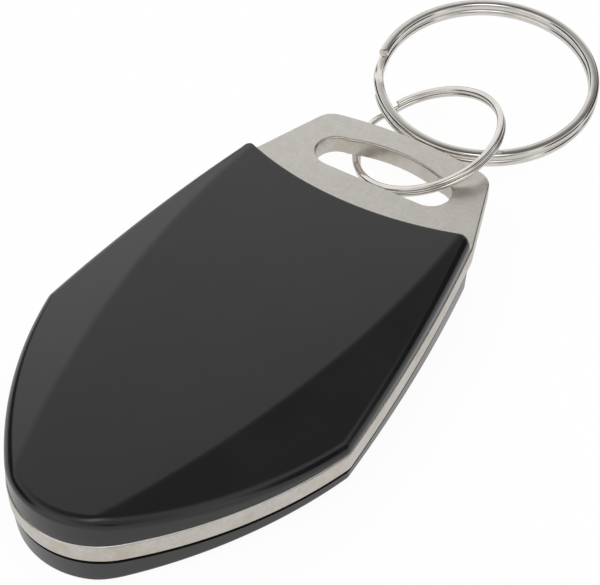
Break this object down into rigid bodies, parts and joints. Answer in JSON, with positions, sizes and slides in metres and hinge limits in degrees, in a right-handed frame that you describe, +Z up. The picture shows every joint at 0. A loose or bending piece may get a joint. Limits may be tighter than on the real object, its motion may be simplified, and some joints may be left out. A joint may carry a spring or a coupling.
{
  "type": "rfid key fob",
  "caption": "Dark moulded proximity key fob round a metal loop plate, with a small and a large split ring linked through the plate's slot.",
  "frame": {"origin": "middle of the lower shell's flat underside, level with the middle of the body's length and width", "axes": "+X to the right seen from the nose, +Y from the nose towards the tab and the rings, +Z up out of the top face"},
  "size_m": [0.032, 0.0812, 0.008],
  "materials": {
    "dark_plastic": "fine satin moulded plastic",
    "plate_metal": "satin nickel plated metal",
    "ring_metal": "bright nickel plated spring steel",
    "adhesive": "double sided tape",
    "copper_winding": "lacquered copper wire",
    "board_green": "solder mask",
    "resin_black": "cast resin",
    "solder": "bright solder"
  },
  "bodies": {
    "fob": {"upper_shell": "dark_plastic", "lower_shell": "dark_plastic", "metal_frame": "plate_metal", "coil_adhesive_pad": "adhesive", "antenna_coil": "copper_winding", "chip_board": "board_green", "chip_encapsulation": "resin_black", "solder_joints": "solder", "coil_leads": "copper_winding"},
    "small_ring": {"small_split_ring": "ring_metal"},
    "large_ring": {"large_split_ring": "ring_metal"}
  },
  "joints": [
    {"name": "small_ring_swing", "type": "hinge", "parent": "fob", "child": "small_ring", "pos_m": [-0.00163, 0.0337, 0.00256], "axis": [0, -1, 0], "range_deg": [0, 125]},
    {"name": "large_ring_swing", "type": "hinge", "parent": "small_ring", "child": "large_ring", "pos_m": [-0.00163, 0.04012, 0.00458], "axis": [0.1159, 0.9545, 0.2749], "range_deg": [0, 110]}
  ]
}
